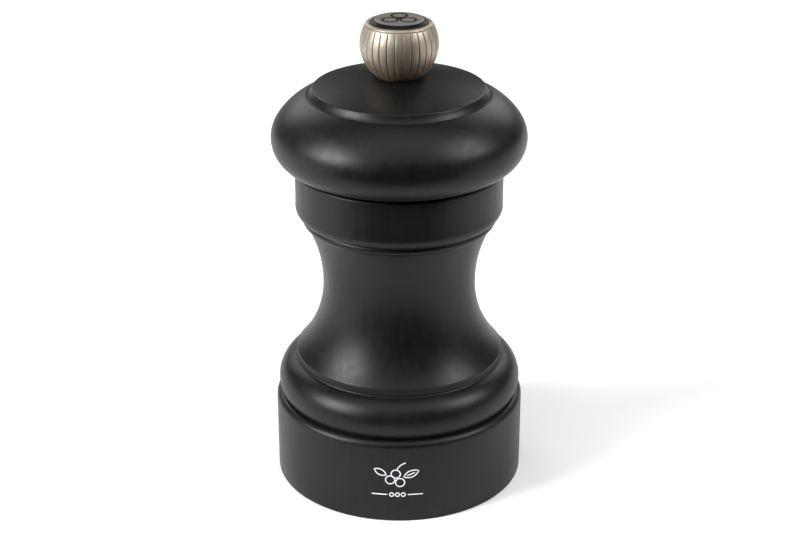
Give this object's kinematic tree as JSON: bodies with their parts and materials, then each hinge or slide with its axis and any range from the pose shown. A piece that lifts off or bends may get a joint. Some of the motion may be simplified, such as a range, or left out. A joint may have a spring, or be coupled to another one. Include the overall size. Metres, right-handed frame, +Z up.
{
  "type": "pepper mill",
  "caption": "Turned wooden pepper mill: waisted body with steel grinding mechanism, turning head on a square shaft, ribbed metal knob that sets the grind.",
  "frame": {"origin": "centre of the annular face the mill stands on", "axes": "+Z up along the turning axis, from the base to the knob; +X along the two steel bars of the mechanism"},
  "size_m": [0.0528, 0.0528, 0.1],
  "materials": {
    "black_lacquered_wood": "satin black lacquer over turned wood",
    "white_print": "thin pad-printed ink, used only by the visual model's base mark",
    "aged_bronze": "aged bronze, brushed, dark in the engraved lines",
    "yellow_brass": "machined",
    "black_polymer": "satin",
    "grey_medallion": "matte grey-bronze anodised",
    "zinc_plated_steel": "zinc plated",
    "hardened_steel": "case hardened, dull grey",
    "spring_steel": "bright drawn wire",
    "bright_aluminium": "drawn bar"
  },
  "bodies": {
    "mill_body": {"wooden_body": "black_lacquered_wood", "grinder_frame": "zinc_plated_steel", "stator_ring": "hardened_steel", "upper_bridge": "zinc_plated_steel", "bridge_rivets": "zinc_plated_steel", "lower_bar": "zinc_plated_steel", "frame_screws": "zinc_plated_steel"},
    "spring_carrier": {"thrust_washer": "zinc_plated_steel", "grinder_spring": "spring_steel"},
    "drive": {"drive_shaft": "bright_aluminium", "rotor": "hardened_steel", "rotor_washer": "zinc_plated_steel", "retaining_clip": "spring_steel"},
    "head": {"wooden_head": "black_lacquered_wood", "drive_plate": "zinc_plated_steel", "drive_plate_nails": "zinc_plated_steel"},
    "knob_seat": {"knob_washer": "black_polymer"},
    "knob": {"knob_shell": "aged_bronze", "thread_insert": "yellow_brass", "cap_bezel": "black_polymer", "cap_medallion": "grey_medallion"}
  },
  "joints": [
    {"name": "grind_turn", "type": "hinge", "parent": "mill_body", "child": "spring_carrier", "pos_m": [0, 0, 0.023], "axis": [0, 0, 1], "continuous": true},
    {"name": "shaft_rise", "type": "slide", "parent": "spring_carrier", "child": "drive", "axis": [0, 0, 1], "range_m": [0, 0.00105], "deforming": ["grinder_spring"]},
    {"name": "head_lift", "type": "slide", "parent": "spring_carrier", "child": "head", "axis": [0, 0, 1], "range_m": [0, 0.04]},
    {"name": "knob_lift", "type": "slide", "parent": "head", "child": "knob_seat", "axis": [0, 0, 1], "range_m": [0, 0.012]},
    {"name": "knob_turn", "type": "hinge", "parent": "knob_seat", "child": "knob", "pos_m": [0, 0, 0.095], "axis": [0, 0, 1], "range_deg": [-540, 0]}
  ],
  "couplings": [
    {"joint": "knob_turn", "follows": "shaft_rise", "rad_per_m": -8976}
  ]
}
